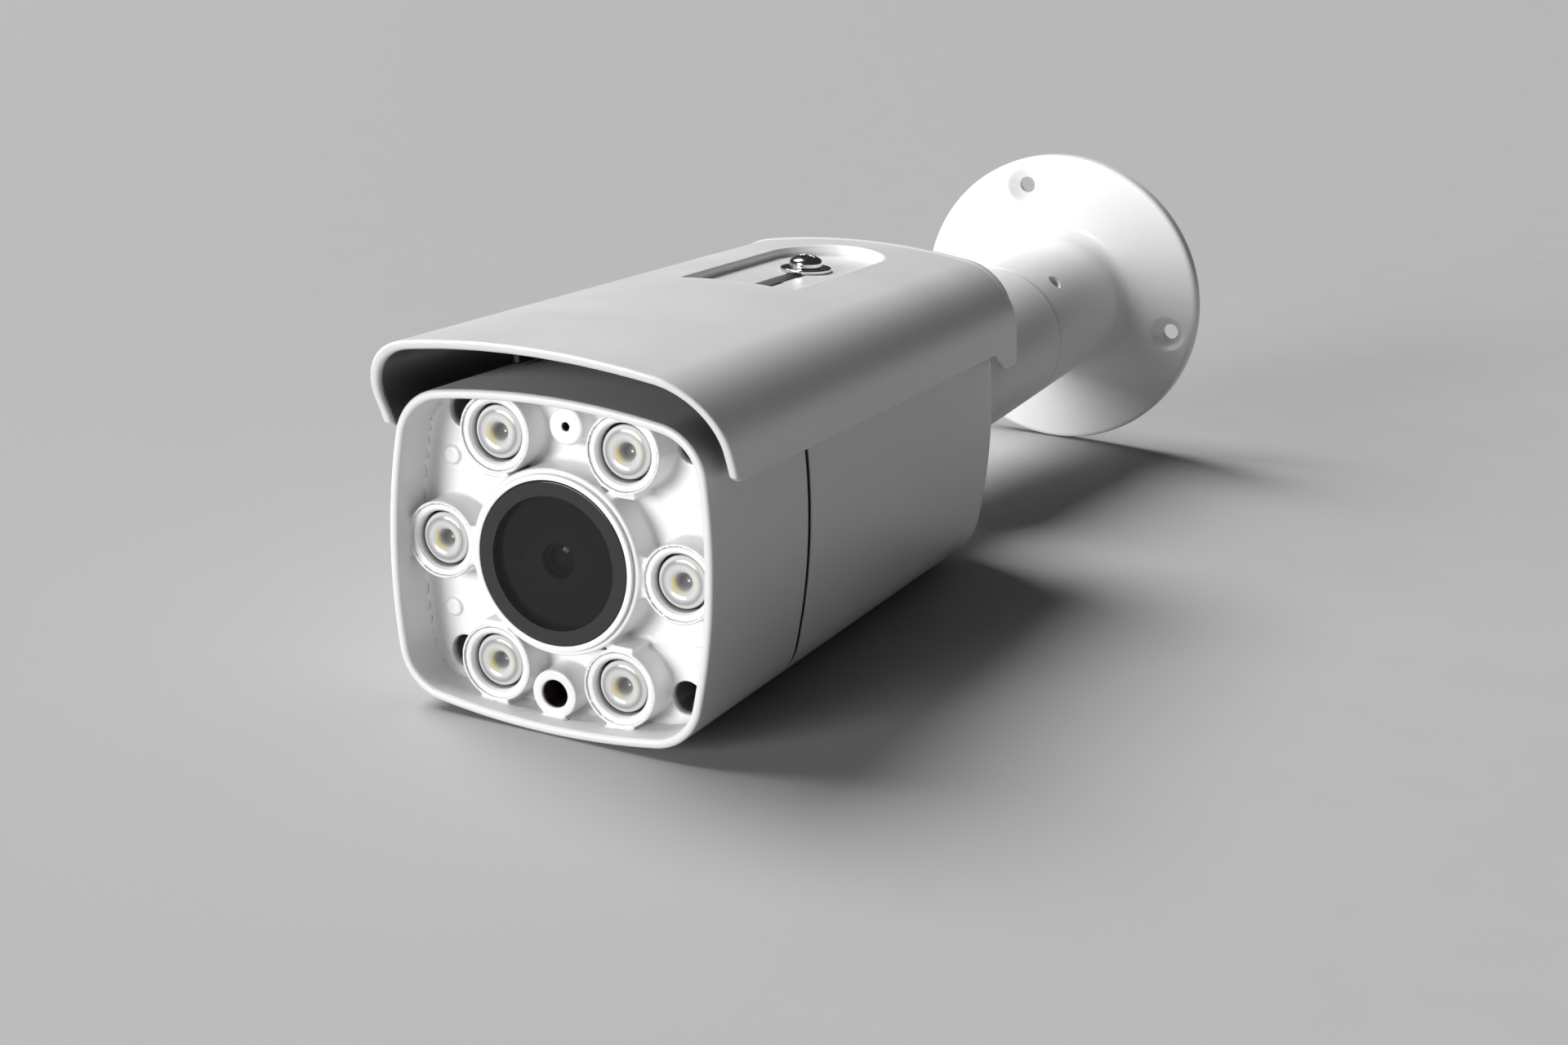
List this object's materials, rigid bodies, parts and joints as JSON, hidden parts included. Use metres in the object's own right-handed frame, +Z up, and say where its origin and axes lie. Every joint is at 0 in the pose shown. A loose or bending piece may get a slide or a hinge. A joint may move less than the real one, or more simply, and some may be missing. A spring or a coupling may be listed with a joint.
{
  "type": "security camera",
  "caption": "Bullet security camera with a square-faced housing, ring of lamps, sliding sunshade and a three-axis wall bracket.",
  "frame": {"origin": "centre of the wall plate's back face, on the bracket's axis", "axes": "-Y is the way the camera looks, +Z is up, +X is to the right seen from in front of the lens side; the head is square with the axes and the bracket leans 6 degrees"},
  "size_m": [0.0962, 0.3223, 0.0946],
  "materials": {
    "white_cover": "satin white moulded housing",
    "white_shade": "satin white moulded sunshade",
    "white_bezel": "glossy white moulded front plate",
    "white_bracket": "white powder coat on die-cast aluminium",
    "smoked_glass": "smoked flat window",
    "black_rubber": "matt black rubber",
    "led_optic": "clear moulded lamp lens",
    "led_phosphor": "yellow phosphor",
    "led_board_white": "white solder mask",
    "circuit_board": "green solder mask",
    "zinc_steel": "zinc plated steel",
    "bare_aluminium": "bare aluminium",
    "sensor_amber": "dark daylight filter",
    "black_plastic": "matt black moulding",
    "lens_coating": "coated lens glass",
    "turned_brass": "turned brass",
    "filter_glass": "coated filter glass",
    "copper_coil": "enamelled copper wire",
    "sensor_die": "sensor package",
    "nylon": "natural nylon",
    "polished_steel": "polished stainless steel",
    "black_steel": "blackened steel"
  },
  "bodies": {
    "wall_bracket": {"wall_plate": "white_bracket"},
    "arm": {"arm_tube": "white_bracket", "arm_retainer": "zinc_steel"},
    "stub_lock": {"grub_screw": "black_steel"},
    "yoke": {"yoke": "white_bracket", "pivot_nut": "zinc_steel", "roll_nut": "turned_brass"},
    "tilt_lock": {"pivot_bolt": "zinc_steel"},
    "head": {"front_cover": "white_cover", "bezel": "white_bezel", "window_ring": "white_bezel", "window_glass": "smoked_glass", "window_seal": "black_rubber", "led_lens_1": "led_optic", "led_lens_2": "led_optic", "led_lens_3": "led_optic", "led_lens_4": "led_optic", "led_lens_5": "led_optic", "led_lens_6": "led_optic", "led_emitter_1": "led_phosphor", "led_emitter_2": "led_phosphor", "led_emitter_3": "led_phosphor", "led_emitter_4": "led_phosphor", "led_emitter_5": "led_phosphor", "led_emitter_6": "led_phosphor", "led_board": "led_board_white", "led_board_screws": "zinc_steel", "heat_sink": "bare_aluminium", "microphone": "bare_aluminium", "light_sensor": "sensor_amber", "lens_shroud": "black_plastic", "lens_lock_ring": "turned_brass", "lens_holder": "black_plastic", "ir_cut_coil": "copper_coil", "image_sensor": "sensor_die", "sensor_board": "circuit_board", "board_spacers": "turned_brass", "main_board": "circuit_board", "board_screws": "zinc_steel", "cable_header": "nylon", "cover_gasket": "black_rubber", "cover_screws": "zinc_steel", "rear_casing": "white_cover", "cable_grommet": "black_rubber", "roll_washer": "nylon", "shade_washer": "polished_steel"},
    "shade": {"sunshade": "white_shade"},
    "shade_lock": {"shade_screw": "polished_steel"},
    "lens": {"lens_barrel": "black_plastic", "lens_glass": "lens_coating"},
    "ir_cut": {"ir_cut_shuttle": "black_plastic", "ir_cut_filters": "filter_glass"}
  },
  "joints": [
    {"name": "arm_swivel", "type": "hinge", "parent": "wall_bracket", "child": "arm", "pos_m": [-0.00273, -0.04774, -0.00421], "axis": [-0.0569, -0.9945, -0.0877], "range_deg": [-175, 175]},
    {"name": "head_tilt", "type": "hinge", "parent": "arm", "child": "yoke", "pos_m": [-0.00729, -0.1273, -0.01122], "axis": [0.8387, 0, -0.5446], "range_deg": [-54, 66]},
    {"name": "head_roll", "type": "hinge", "parent": "yoke", "child": "head", "pos_m": [-0.00729, -0.1483, -0.01122], "axis": [0, 1, 0], "range_deg": [-90, 90]},
    {"name": "shade_slide", "type": "slide", "parent": "head", "child": "shade", "axis": [0, 1, 0], "range_m": [-0.001, 0.028]},
    {"name": "shade_screw_turn", "type": "hinge", "parent": "head", "child": "shade_lock", "pos_m": [-0.00729, -0.1873, 0.03278], "axis": [0, 0, 1], "continuous": true},
    {"name": "stub_lock_turn", "type": "hinge", "parent": "wall_bracket", "child": "stub_lock", "pos_m": [0.00861, -0.04532, 0.00891], "axis": [0.6531, -0.1035, 0.7502], "continuous": true},
    {"name": "tilt_lock_turn", "type": "hinge", "parent": "yoke", "child": "tilt_lock", "pos_m": [-0.00729, -0.1273, -0.01122], "axis": [0.8387, 0, -0.5446], "continuous": true},
    {"name": "lens_focus", "type": "hinge", "parent": "head", "child": "lens", "pos_m": [-0.00729, -0.2913, -0.01122], "axis": [0, -1, 0], "range_deg": [-180, 180]},
    {"name": "ir_cut_slide", "type": "slide", "parent": "head", "child": "ir_cut", "axis": [1, 0, 0], "range_m": [0, 0.006]}
  ]
}
